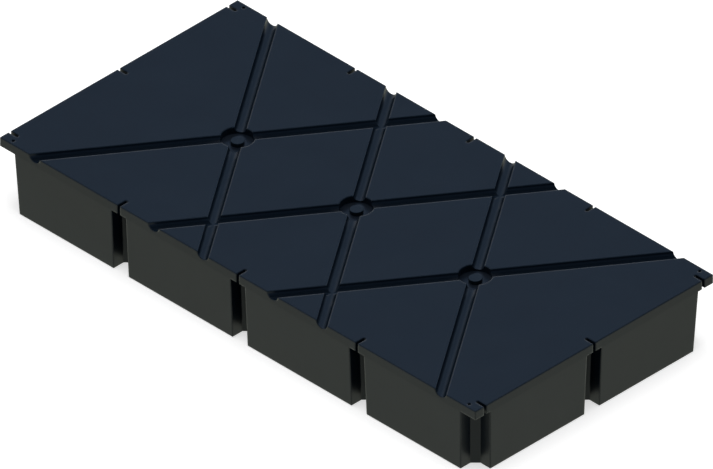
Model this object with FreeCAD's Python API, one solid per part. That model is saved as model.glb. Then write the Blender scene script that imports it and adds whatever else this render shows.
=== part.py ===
import FreeCAD, Part
import math
import os

# Dock float drum, 4 ft by 8 ft by 12 in: one moulded plastic shell, filled and sealed, with a
# slotted deck edge for the bolts of a dock frame and three fill plugs in the pockets of its deck.
# Millimetres. The origin is the middle of the underside, with +X along the length and +Z up.

# The whole float
FLOAT_LENGTH = 2438.4
FLOAT_WIDTH = 1219.2
FLOAT_HEIGHT = 304.8

# The deck is a slab with a full edge, and the walls below it lean in towards the underside
DECK_EDGE = 38.1
BODY_LEAN = 12.7

# Corners of the moulding: the deck's edges and lips and the upright corners of the body are
# rounded, and the body has a small bevel round its underside
EDGE_RADIUS = 1.6
BASE_BEVEL = 3.0

# The length has this many equal bays, with a channel in each long side and a deck pocket on each
# line between two bays
BAYS = 4

# Upright bolt channels below the deck, with a 45 degree face in each inner corner. They widen
# towards the underside by the flare on each side.
CHANNEL_WIDTH = 73.0
CHANNEL_DEPTH = 76.2
CHANNEL_FACE = 25.4
CHANNEL_FLARE = 1.6

# Square notches below the deck's four corners, with a 45 degree face in the inner corner
NOTCH_SIZE = 76.2
NOTCH_FACE = 25.4

# Bolt slots in the deck's edge, with round inner ends: one over each channel, and one over each
# corner notch from the short side
SLOT_WIDTH = 12.7
SLOT_DEPTH = 44.45
CORNER_SLOT_INSET = 50.8

# Bolt holes through the deck's corner tabs
TAB_HOLE_DIAMETER = 12.7
TAB_HOLE_FROM_END = 50.8
TAB_HOLE_FROM_SIDE = 19.05

# Half round drain grooves, two through each pocket. The run is how far along the float a groove
# has gone from its pocket when it comes out in the long side.
GROOVE_RADIUS = 22.225
GROOVE_RUN = 431.8

# Round pockets in the deck, each with a fill port in its floor
POCKET_DIAMETER = 127.0
POCKET_DEPTH = 28.575
PORT_DIAMETER = 38.1
PORT_DEPTH = 22.0

# Fill plugs: the head sits on the pocket's floor and the shank goes down into the port
PLUG_HEAD_DIAMETER = 50.8
PLUG_HEAD_HEIGHT = 15.875
PLUG_HEAD_ROUND = 2.0
PLUG_SIDE_CLEARANCE = 0.3
PLUG_END_CLEARANCE = 3.0

half_length = FLOAT_LENGTH / 2
half_width = FLOAT_WIDTH / 2
deck_underside = FLOAT_HEIGHT - DECK_EDGE
pocket_floor = FLOAT_HEIGHT - POCKET_DEPTH
pocket_places = [FLOAT_LENGTH * (bay / BAYS - 0.5) for bay in range(1, BAYS)]


def turned(corners, quarter_turns):
    """The (x, y, radius) corners, turned about the middle."""
    for _ in range(quarter_turns):
        corners = [(-y, x, radius) for x, y, radius in corners]
    return corners


def all_round(long_side, short_side):
    """Corners of the whole outline, from those of one long side and one short side."""
    return long_side + turned(short_side, 1) + turned(long_side, 2) + turned(short_side, 3)


def outline(corners, height):
    """Edges of the closed outline at a height, with an arc of its own radius in each corner."""
    points = [FreeCAD.Vector(x, y, height) for x, y, _ in corners]
    bends = []
    for index, corner in enumerate(points):
        radius = corners[index][2]
        into = (corner - points[index - 1]).normalize()
        away = (points[(index + 1) % len(points)] - corner).normalize()
        half_turn = into.getAngle(away) / 2
        reach = radius * math.tan(half_turn)
        rise = radius / math.cos(half_turn) - radius
        start = corner - into * reach
        middle = corner + (away - into).normalize() * rise
        bends.append((start, middle, corner + away * reach, radius))
    edges = []
    for index, (start, middle, end, radius) in enumerate(bends):
        next_start = bends[(index + 1) % len(bends)][0]
        if radius > 0:
            edges.append(Part.Arc(start, middle, end).toShape())
        if end.distanceToPoint(next_start) > 1e-6:
            edges.append(Part.LineSegment(end, next_start).toShape())
    return edges


def wall(lower, upper):
    """The wall between two matching edges: flat where they are straight."""
    if lower.Curve.TypeId == "Part::GeomLine":
        points = [lower.firstVertex(True).Point, lower.lastVertex(True).Point]
        points += [upper.lastVertex(True).Point, upper.firstVertex(True).Point]
        return Part.Face(Part.makePolygon(points + points[:1]))
    return Part.makeRuledSurface(lower, upper)


def storey(lower, upper):
    """The solid between two matching outlines."""
    faces = [wall(low, high) for low, high in zip(lower, upper)]
    faces += [Part.Face(Part.Wire(lower)), Part.Face(Part.Wire(upper))]
    shell = Part.makeShell(faces)
    shell.sewShape()
    solid = Part.makeSolid(shell)
    return solid if solid.Volume > 0 else solid.reversed()


def slot_corners(place, side):
    """Corners of one edge slot, in a side that lies that far from the middle."""
    half = SLOT_WIDTH / 2
    inner = side - SLOT_DEPTH
    mouth = [(place - half, -side, EDGE_RADIUS), (place + half, -side, EDGE_RADIUS)]
    return [mouth[0], (place - half, -inner, half), (place + half, -inner, half), mouth[1]]


def deck_side(places, length, side):
    """Corners of one side of the deck, from a rounded corner over its slots."""
    slots = [corner for place in places for corner in slot_corners(place, side)]
    return [(-length, -side, EDGE_RADIUS)] + slots


def deck():
    """The deck's slab, with its slots and with its top and bottom edges rounded."""
    corner_slot = half_width - CORNER_SLOT_INSET
    long_side = deck_side(pocket_places, half_length, half_width)
    short_side = deck_side([-corner_slot, 0, corner_slot], half_width, half_length)
    plan = Part.Face(Part.Wire(outline(all_round(long_side, short_side), deck_underside)))
    slab = plan.extrude(FreeCAD.Vector(0, 0, DECK_EDGE))
    rims = [edge for edge in slab.Edges if edge.BoundBox.ZLength < EDGE_RADIUS]
    return slab.makeFillet(EDGE_RADIUS, rims)


def channel_corners(place, side, widening):
    """Corners of one upright channel, in a side that lies that far from the middle."""
    half = CHANNEL_WIDTH / 2 + widening
    back = side - CHANNEL_DEPTH
    straight = back + CHANNEL_FACE
    left = [(place - half, -side, EDGE_RADIUS), (place - half, -straight, 0)]
    right = [(place + half, -straight, 0), (place + half, -side, EDGE_RADIUS)]
    middle = [(place - half + CHANNEL_FACE, -back, 0), (place + half - CHANNEL_FACE, -back, 0)]
    return left + middle + right


def body_side(places, length, side, widening):
    """Corners of one side of the body, from one corner notch to the next."""
    end = length - NOTCH_SIZE
    inner = side - NOTCH_SIZE
    notch = [(-end - NOTCH_FACE, -inner, 0), (-end, -inner - NOTCH_FACE, 0)]
    channels = [corner for place in places for corner in channel_corners(place, side, widening)]
    return notch + [(-end, -side, EDGE_RADIUS)] + channels + [(end, -side, EDGE_RADIUS)]


def body_outline(height, lean, widening):
    """The body's outline at a height where its walls have leant in that far."""
    length = half_length - lean
    width = half_width - lean
    long_side = body_side(pocket_places, length, width, widening)
    short_side = body_side([0], width, length, widening)
    return outline(all_round(long_side, short_side), height)


def body():
    """The body, with a collar that reaches up into the deck and a bevel round the underside."""
    collar_top = body_outline(deck_underside + 2 * EDGE_RADIUS, 0, 0)
    under_deck = body_outline(deck_underside, 0, 0)
    above_bevel = body_outline(BASE_BEVEL, BODY_LEAN, CHANNEL_FLARE)
    underside = body_outline(0, BODY_LEAN + BASE_BEVEL, CHANNEL_FLARE + BASE_BEVEL)
    storeys = [storey(underside, above_bevel), storey(above_bevel, under_deck), storey(under_deck, collar_top)]
    return storeys[0].multiFuse(storeys[1:])


def groove(place, run):
    """The space of a groove with rounded lips, through a pocket and out past both long sides."""
    out = GROOVE_RADIUS + EDGE_RADIUS
    lip_centre = math.sqrt(out ** 2 - EDGE_RADIUS ** 2)
    lip_low = FreeCAD.Vector(0, lip_centre, -EDGE_RADIUS) * (GROOVE_RADIUS / out)
    lip_turn = math.radians(135) - math.asin(EDGE_RADIUS / out) / 2
    lip_rise = EDGE_RADIUS * math.sin(lip_turn) - EDGE_RADIUS
    lip_middle = FreeCAD.Vector(0, lip_centre + EDGE_RADIUS * math.cos(lip_turn), lip_rise)
    lip_high = FreeCAD.Vector(0, lip_centre, 0)
    above = FreeCAD.Vector(0, lip_centre, GROOVE_RADIUS)
    low, middle, high, top = (FreeCAD.Vector(0, -p.y, p.z) for p in (lip_low, lip_middle, lip_high, above))
    section = [Part.Arc(lip_high, lip_middle, lip_low).toShape()]
    section.append(Part.Arc(lip_low, FreeCAD.Vector(0, 0, -GROOVE_RADIUS), low).toShape())
    section.append(Part.Arc(low, middle, high).toShape())
    section.append(Part.makePolygon([high, top, above, lip_high]))
    half_run = math.hypot(run, half_width) + 2 * out
    space = Part.Face(Part.Wire(section)).extrude(FreeCAD.Vector(2 * half_run, 0, 0))
    space.translate(FreeCAD.Vector(-half_run, 0, 0))
    space.rotate(FreeCAD.Vector(), FreeCAD.Vector(0, 0, 1), math.degrees(math.atan2(half_width, run)))
    return space.translated(FreeCAD.Vector(place, 0, FLOAT_HEIGHT))


def turning(points, place, height):
    """The solid swept by an (r, z) section about an upright axis, with a list item as an arc."""
    edges = []
    last = None
    for point in points:
        if isinstance(point, list):
            middle, end = (FreeCAD.Vector(r, 0, z) for r, z in point)
            edges.append(Part.Arc(last, middle, end).toShape())
        else:
            end = FreeCAD.Vector(point[0], 0, point[1])
            if last is not None:
                edges.append(Part.LineSegment(last, end).toShape())
        last = end
    first = FreeCAD.Vector(points[0][0], 0, points[0][1])
    edges.append(Part.LineSegment(last, first).toShape())
    solid = Part.Face(Part.Wire(edges)).revolve(FreeCAD.Vector(), FreeCAD.Vector(0, 0, 1), 360)
    return solid.translated(FreeCAD.Vector(place, 0, height))


def pocket(place):
    """The space of one deck pocket with a rounded rim."""
    radius = POCKET_DIAMETER / 2
    rim = radius + EDGE_RADIUS
    turn = math.radians(135)
    rim_middle = (rim + EDGE_RADIUS * math.cos(turn), EDGE_RADIUS * math.sin(turn) - EDGE_RADIUS)
    section = [(0, POCKET_DEPTH), (rim, POCKET_DEPTH), (rim, 0), [rim_middle, (radius, -EDGE_RADIUS)]]
    section += [(radius, -POCKET_DEPTH), (0, -POCKET_DEPTH)]
    return turning(section, place, FLOAT_HEIGHT)


def port(place):
    """The space of one fill port, down from the pocket's floor."""
    foot = FreeCAD.Vector(place, 0, pocket_floor - PORT_DEPTH)
    return Part.makeCylinder(PORT_DIAMETER / 2, PORT_DEPTH, foot)


def tab_hole(x, y):
    """The space of one bolt hole through a corner tab."""
    return Part.makeCylinder(TAB_HOLE_DIAMETER / 2, DECK_EDGE, FreeCAD.Vector(x, y, deck_underside))


def drum_shell():
    """The moulded shell with its filling, as one sealed solid."""
    hole_x = half_length - TAB_HOLE_FROM_END
    hole_y = half_width - TAB_HOLE_FROM_SIDE
    shell = deck().fuse(body())
    shell = shell.cut([tab_hole(x, y) for x in (-hole_x, hole_x) for y in (-hole_y, hole_y)])
    shell = shell.cut([pocket(place) for place in pocket_places])
    for run in (GROOVE_RUN, -GROOVE_RUN):
        shell = shell.cut([groove(place, run) for place in pocket_places])
    return shell.cut([port(place) for place in pocket_places]).removeSplitter()


def fill_plug(place):
    """One fill plug: a round head with a rounded top edge, and a shank that clears its port."""
    head = PLUG_HEAD_DIAMETER / 2
    shank = PORT_DIAMETER / 2 - PLUG_SIDE_CLEARANCE
    shank_end = PLUG_END_CLEARANCE - PORT_DEPTH
    shoulder = PLUG_HEAD_HEIGHT - PLUG_HEAD_ROUND
    turn = math.radians(45)
    round_r = head - PLUG_HEAD_ROUND + PLUG_HEAD_ROUND * math.cos(turn)
    round_z = shoulder + PLUG_HEAD_ROUND * math.sin(turn)
    section = [(0, shank_end), (shank, shank_end), (shank, 0), (head, 0), (head, shoulder)]
    section += [[(round_r, round_z), (head - PLUG_HEAD_ROUND, PLUG_HEAD_HEIGHT)], (0, PLUG_HEAD_HEIGHT)]
    return turning(section, place, pocket_floor)


os.makedirs("parts", exist_ok=True)
drum_shell().exportStep("parts/drum_shell.step")
for number, pocket_place in enumerate(pocket_places, start=1):
    fill_plug(pocket_place).exportStep(f"parts/fill_plug_{number}.step")
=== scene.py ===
import bpy
import math
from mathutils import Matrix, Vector

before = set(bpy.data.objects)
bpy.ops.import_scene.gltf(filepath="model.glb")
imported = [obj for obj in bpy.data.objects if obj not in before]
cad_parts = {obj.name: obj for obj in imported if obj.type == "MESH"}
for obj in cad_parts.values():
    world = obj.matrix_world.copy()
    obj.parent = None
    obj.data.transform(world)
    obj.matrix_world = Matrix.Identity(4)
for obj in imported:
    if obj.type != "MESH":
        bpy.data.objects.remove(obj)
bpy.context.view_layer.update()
scene = bpy.context.scene
scene.view_settings.view_transform = "Standard"


# The float shell: one moulding of black polyethylene, filled with foam and sealed, with its deck,
# tapered body, bolt channels and drain grooves in one piece. It comes out of the mould with a fine
# satin grain, and its walls draw in very slightly as they cool.
def black_polyethylene(name):
    """A new black plastic of low gloss: its material, its node tree and the place on the piece."""
    material = bpy.data.materials.new(name)
    material.use_nodes = True
    tree = material.node_tree
    tree.nodes["Principled BSDF"].inputs["Specular IOR Level"].default_value = 0.2
    return material, tree, tree.nodes.new("ShaderNodeTexCoord").outputs["Object"]


def finish_with(tree, **sockets):
    """Give the plastic its base_color, roughness and normal."""
    plastic = tree.nodes["Principled BSDF"]
    for name, socket in sockets.items():
        tree.links.new(socket, plastic.inputs[name.replace("_", " ").title()])


def mottle(tree, place, scale, detail, distortion=0.0):
    """Soft uneven patches from 0 to 1, finer as the scale grows."""
    noise = tree.nodes.new("ShaderNodeTexNoise")
    noise.inputs["Scale"].default_value = scale
    noise.inputs["Detail"].default_value = detail
    noise.inputs["Distortion"].default_value = distortion
    tree.links.new(place, noise.inputs["Vector"])
    return noise.outputs["Fac"]


def settled_pigment(tree, patches, deeper, paler):
    """The black of the plastic, which drifts between two shades over the patches."""
    pigment = tree.nodes.new("ShaderNodeValToRGB")
    for stop, position, shade in zip(pigment.color_ramp.elements, (0.3, 0.7), (deeper, paler)):
        stop.position = position
        stop.color = (*shade, 1)
    tree.links.new(patches, pigment.inputs["Fac"])
    return pigment.outputs["Color"]


def spread(tree, value, start, end, low=0.0, high=1.0):
    """The value's span from start to end, stretched to run from low to high."""
    span = tree.nodes.new("ShaderNodeMapRange")
    span.inputs["From Min"].default_value = start
    span.inputs["From Max"].default_value = end
    span.inputs["To Min"].default_value = low
    span.inputs["To Max"].default_value = high
    tree.links.new(value, span.inputs["Value"])
    return span.outputs["Result"]


def worked(tree, operation, *values):
    """The result of a sum on sockets and numbers."""
    working = tree.nodes.new("ShaderNodeMath")
    working.operation = operation
    for entry, value in zip(working.inputs, values):
        if isinstance(value, float):
            entry.default_value = value
        else:
            tree.links.new(value, entry)
    return working.outputs["Value"]


def relief(tree, height, strength, depth, under=None):
    """The way the surface faces with a shallow relief on it, over what lies under it."""
    bump = tree.nodes.new("ShaderNodeBump")
    bump.inputs["Strength"].default_value = strength
    bump.inputs["Distance"].default_value = depth
    tree.links.new(height, bump.inputs["Height"])
    if under is not None:
        tree.links.new(under, bump.inputs["Normal"])
    return bump.outputs["Normal"]


def laid_over(tree, under, colour, share):
    """A colour laid over the one under it, as thick as the share says."""
    layer = tree.nodes.new("ShaderNodeMix")
    layer.data_type = "RGBA"
    layer.inputs["B"].default_value = (*colour, 1)
    tree.links.new(share, layer.inputs["Factor"])
    tree.links.new(under, layer.inputs["A"])
    return layer.outputs["Result"]


def parted(tree, vector):
    """The X, Y and Z of a place or a direction."""
    parts = tree.nodes.new("ShaderNodeSeparateXYZ")
    tree.links.new(vector, parts.inputs["Vector"])
    return parts.outputs


bay = 0.6096


def from_plug(tree, place):
    """How far the place is from the middle of the nearest fill plug, seen from above. The plugs
    stand a bay apart along X."""
    parts = parted(tree, place)
    flat = tree.nodes.new("ShaderNodeCombineXYZ")
    tree.links.new(worked(tree, "WRAP", parts["X"], bay / 2, -bay / 2), flat.inputs["X"])
    tree.links.new(parts["Y"], flat.inputs["Y"])
    from_middle = tree.nodes.new("ShaderNodeVectorMath")
    from_middle.operation = "LENGTH"
    tree.links.new(flat.outputs["Vector"], from_middle.inputs["Vector"])
    return from_middle.outputs["Value"]


shell_plastic, tree, place = black_polyethylene("black_polyethylene_shell")

# pigment that settled unevenly while the powder melted
clouds = mottle(tree, place, scale=3.5, detail=4.0, distortion=0.8)
black = settled_pigment(tree, clouds, (0.0007, 0.0029, 0.0061), (0.0013, 0.0041, 0.0079))

# edges rubbed round by the frame, the bolts and other floats, which doesn't reach down into the
# slots, holes and grooves: their walls keep the crisp edges of the mould
moulded_round = 0.0016
rubbed_round = 0.009
narrow_gap = 0.05
openness = tree.nodes.new("ShaderNodeAmbientOcclusion")
openness.samples = 8
openness.only_local = True
openness.inputs["Distance"].default_value = narrow_gap
reach = spread(tree, openness.outputs["AO"], 0.7, 0.95, moulded_round, rubbed_round)
softened = tree.nodes.new("ShaderNodeBevel")
softened.samples = 4
tree.links.new(reach, softened.inputs["Radius"])

# where the edge turns away from the moulded face it is worn, in patches, a little paler
surface = tree.nodes.new("ShaderNodeNewGeometry")
turned = tree.nodes.new("ShaderNodeVectorMath")
turned.operation = "DOT_PRODUCT"
tree.links.new(softened.outputs["Normal"], turned.inputs[0])
tree.links.new(surface.outputs["Normal"], turned.inputs[1])
on_edge = spread(tree, turned.outputs["Value"], 0.998, 0.96)
patches = spread(tree, mottle(tree, place, scale=26.0, detail=3.0), 0.35, 0.6, low=0.7)
rubbed = worked(tree, "MULTIPLY", on_edge, patches)
scuffed = laid_over(tree, black, (0.0035, 0.0065, 0.0100), rubbed)

# painted light on what faces up in the pockets around the plugs, below the deck: these floors are
# painted paler in patches, as a painted reflection of the pale backdrop
near_plug = spread(tree, from_plug(tree, place), 0.105, 0.060)
below_deck = spread(tree, parted(tree, place)["Z"], 0.300, 0.294)
facing_up = spread(tree, parted(tree, surface.outputs["Normal"])["Z"], 0.5, 0.85)
painted_light_share = patches
for share in (near_plug, below_deck, facing_up):
    painted_light_share = worked(tree, "MULTIPLY", painted_light_share, share)
# the pale shade laid over the black here is painted reflected light, not a colour of the plastic
painted_pocket_light = laid_over(tree, scuffed, (0.0068, 0.0094, 0.0142), painted_light_share)

# satin skin: a little duller where the powder fused less, smoother on the rubbed edges
edge_smoothing = -0.24
fused = mottle(tree, place, scale=18.0, detail=5.0, distortion=1.5)
satin = spread(tree, fused, 0.3, 0.7, low=0.30, high=0.36)
smoothed = worked(tree, "MULTIPLY_ADD", rubbed, edge_smoothing, satin)

# walls that drew in between the ribs as they cooled, under the grain of the mould
drawn_in = mottle(tree, place, scale=4.0, detail=1.0)
waves = relief(tree, drawn_in, strength=1.0, depth=0.0012, under=softened.outputs["Normal"])
grain = mottle(tree, place, scale=900.0, detail=2.0)
grained = relief(tree, grain, strength=0.35, depth=0.0001, under=waves)
# the base colour includes the painted reflected light on the pocket floors
finish_with(tree, base_color=painted_pocket_light, roughness=smoothed, normal=grained)

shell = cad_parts["drum_shell"]
shell.data.materials.clear()
shell.data.materials.append(shell_plastic)


# The three fill plugs: moulded polyethylene stoppers that close the ports where the filling went
# in. Each has a flat round head with a rounded rim, with faint rings left by the turned mould.
plug_plastic, tree, place = black_polyethylene("black_polyethylene_plug")

# a second batch of the same plastic, a shade paler
clouds = mottle(tree, place, scale=40.0, detail=4.0)
black = settled_pigment(tree, clouds, (0.0016, 0.0042, 0.0074), (0.0024, 0.0057, 0.0094))
satin = spread(tree, clouds, 0.3, 0.7, low=0.29, high=0.34)

# rings about each plug's own middle
rings_per_metre = 573.0
turns = worked(tree, "MULTIPLY", from_plug(tree, place), math.tau * rings_per_metre)
rings = relief(tree, worked(tree, "SINE", turns), strength=0.3, depth=0.00004)
grain = mottle(tree, place, scale=1300.0, detail=2.0)
grained = relief(tree, grain, strength=0.3, depth=0.00008, under=rings)
finish_with(tree, base_color=black, roughness=satin, normal=grained)

for number in (1, 2, 3):
    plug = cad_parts[f"fill_plug_{number}"]
    plug.data.materials.clear()
    plug.data.materials.append(plug_plastic)


# The floor: plain white studio paper under the float. The camera sees it as a white page with
# the float's soft shadow on it, and the plastic's gloss sees a plain pale page.
paper_reach = 24.0
paper_white = 0.8
page_glow = 0.6
bpy.ops.mesh.primitive_plane_add(size=paper_reach, location=(0, 0, 0))
floor = bpy.context.object
floor.name = "studio_paper"
paper = bpy.data.materials.new("white_paper")
paper.use_nodes = True
tree = paper.node_tree
tree.nodes.clear()
ray = tree.nodes.new("ShaderNodeLightPath")
matt = tree.nodes.new("ShaderNodeBsdfDiffuse")
matt.inputs["Color"].default_value = (paper_white, paper_white, paper_white, 1)
glow = tree.nodes.new("ShaderNodeEmission")
tree.links.new(
    worked(tree, "MULTIPLY", ray.outputs["Is Camera Ray"], page_glow), glow.inputs["Strength"]
)
white_page = tree.nodes.new("ShaderNodeAddShader")
tree.links.new(matt.outputs["BSDF"], white_page.inputs[0])
tree.links.new(glow.outputs["Emission"], white_page.inputs[1])
pale_page = tree.nodes.new("ShaderNodeEmission")
pale_page.inputs["Color"].default_value = (0.90, 0.955, 0.825, 1)


def swapped(tree, rays, usual, instead):
    """The usual shader, or another instead of it for those rays."""
    mix = tree.nodes.new("ShaderNodeMixShader")
    for entry, socket in zip(mix.inputs, (rays, usual, instead)):
        tree.links.new(socket, entry)
    return mix.outputs["Shader"]


mirrored = swapped(
    tree, ray.outputs["Is Glossy Ray"], white_page.outputs["Shader"], pale_page.outputs["Emission"]
)
tree.links.new(mirrored, tree.nodes.new("ShaderNodeOutputMaterial").inputs["Surface"])
floor.data.materials.append(paper)


# The light: a white studio with a pale backdrop, and one large soft lamp overhead. In the gloss
# the backdrop is bright low down behind the float and turns to a cool dim blue overhead.
studio = bpy.data.worlds.new("studio")
scene.world = studio
studio.use_nodes = True
tree = studio.node_tree
tree.nodes.clear()


def backdrop(tree, strength=1.0):
    """A new white backdrop."""
    background = tree.nodes.new("ShaderNodeBackground")
    background.inputs["Color"].default_value = (1, 1, 1, 1)
    background.inputs["Strength"].default_value = strength
    return background


# the shades of the mirrored backdrop, from its foot to its top: the top leans a little to one end
toward = tree.nodes.new("ShaderNodeTexCoord")
height = tree.nodes.new("ShaderNodeVectorMath")
height.operation = "DOT_PRODUCT"
height.inputs[1].default_value = (0.33, 0.0, 0.944)
tree.links.new(toward.outputs["Generated"], height.inputs[0])
shading = tree.nodes.new("ShaderNodeValToRGB")
tree.links.new(height.outputs["Value"], shading.inputs["Fac"])
shades = shading.color_ramp.elements
shades[0].color = (0.85, 0.90, 1.0, 1)
shades[1].color = (0.04, 0.06, 0.10, 1)
for up, colour in (
    (0.10, (0.64, 0.78, 1.0)),
    (0.30, (0.44, 0.67, 1.0)),
    (0.36, (0.40, 0.615, 1.0)),
    (0.43, (0.26, 0.405, 0.70)),
    (0.60, (0.25, 0.39, 0.65)),
    (0.77, (0.11, 0.17, 0.28)),
    (0.88, (0.04, 0.07, 0.13)),
):
    shades.new(up).color = (*colour, 1)
shaded = backdrop(tree)
tree.links.new(shading.outputs["Color"], shaded.inputs["Color"])

ray = tree.nodes.new("ShaderNodeLightPath")
soft = backdrop(tree, strength=0.45).outputs["Background"]
lit = swapped(tree, ray.outputs["Is Glossy Ray"], soft, shaded.outputs["Background"])
seen = swapped(tree, ray.outputs["Is Camera Ray"], lit, backdrop(tree).outputs["Background"])
tree.links.new(seen, tree.nodes.new("ShaderNodeOutputWorld").inputs["Surface"])

overhead = bpy.data.lights.new("overhead", "AREA")
overhead.shape = "SQUARE"
overhead.size = 4.0
overhead.energy = 150.0
lamp = bpy.data.objects.new("overhead", overhead)
lamp.location = (0.0, 0.0, 5.0)
lamp.visible_glossy = False
scene.collection.objects.link(lamp)


# The camera: it looks down on the near right corner at the equal angle to all three axes, with no
# vanishing points, as the picture of the float does. The float fills the frame from side to side.
frame_width = 2.584
frame_middle = Vector((0.0, 0.0, 0.178))
stand_off = 10.0
lens = bpy.data.cameras.new("camera")
lens.type = "ORTHO"
lens.ortho_scale = frame_width
lens.clip_start = 0.1
lens.clip_end = 100.0
camera = bpy.data.objects.new("camera", lens)
scene.collection.objects.link(camera)
scene.camera = camera
back = Vector((1.0, -1.0, 1.0)).normalized()
camera.location = frame_middle + back * stand_off
camera.rotation_mode = "QUATERNION"
camera.rotation_quaternion = (-back).to_track_quat("-Z", "Y")

bpy.context.view_layer.update()
